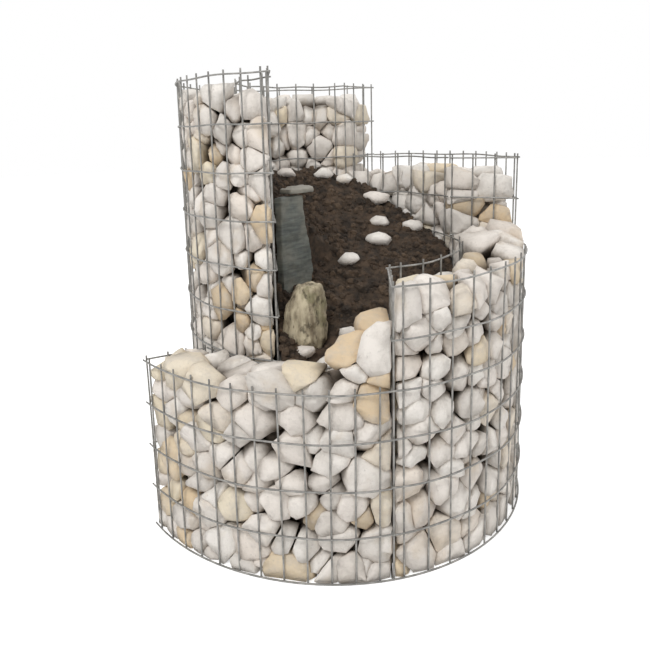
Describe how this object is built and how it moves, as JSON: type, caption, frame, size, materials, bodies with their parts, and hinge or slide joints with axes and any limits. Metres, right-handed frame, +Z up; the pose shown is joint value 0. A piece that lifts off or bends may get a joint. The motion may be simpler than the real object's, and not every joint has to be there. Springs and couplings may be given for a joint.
{
  "type": "spiral gabion wall planter",
  "caption": "Spiral double wall of welded wire mesh filled with pale stones, its bays rising in steps round a planting bed of soil.",
  "frame": {"origin": "axis of the spiral on the ground, where the four soil pieces meet", "axes": "+Z up, -Y towards the front where the low bay meets the second bay, +X to the right; the wall winds anticlockwise seen from above"},
  "size_m": [0.8991, 0.9089, 1.008],
  "materials": {
    "stone_fill": "rough",
    "galvanised_wire": "galvanised",
    "soil": "rough",
    "slate": "cleft",
    "boulder": "rough"
  },
  "bodies": {
    "root": {"low_fill_a": "stone_fill", "low_outer_mesh_a": "galvanised_wire", "low_inner_mesh_a": "galvanised_wire", "low_fill_b": "stone_fill", "low_outer_mesh_b": "galvanised_wire", "low_inner_mesh_b": "galvanised_wire", "low_end_mesh": "galvanised_wire", "second_fill_a": "stone_fill", "second_outer_mesh_a": "galvanised_wire", "second_inner_mesh_a": "galvanised_wire", "second_fill_b": "stone_fill", "second_outer_mesh_b": "galvanised_wire", "second_inner_mesh_b": "galvanised_wire", "second_end_mesh": "galvanised_wire", "third_fill_a": "stone_fill", "third_outer_mesh_a": "galvanised_wire", "third_inner_mesh_a": "galvanised_wire", "third_fill_b": "stone_fill", "third_outer_mesh_b": "galvanised_wire", "third_inner_mesh_b": "galvanised_wire", "third_end_mesh": "galvanised_wire", "tall_fill_a": "stone_fill", "tall_outer_mesh_a": "galvanised_wire", "tall_inner_mesh_a": "galvanised_wire", "tall_fill_b": "stone_fill", "tall_outer_mesh_b": "galvanised_wire", "tall_inner_mesh_b": "galvanised_wire", "tall_fill_c": "stone_fill", "tall_outer_mesh_c": "galvanised_wire", "tall_inner_mesh_c": "galvanised_wire", "tall_end_mesh": "galvanised_wire", "free_end_mesh": "galvanised_wire", "front_soil": "soil", "right_soil": "soil", "back_soil": "soil", "left_soil": "soil", "upright_slate": "slate", "flat_slate": "slate", "boulder": "boulder"}
  },
  "joints": []
}
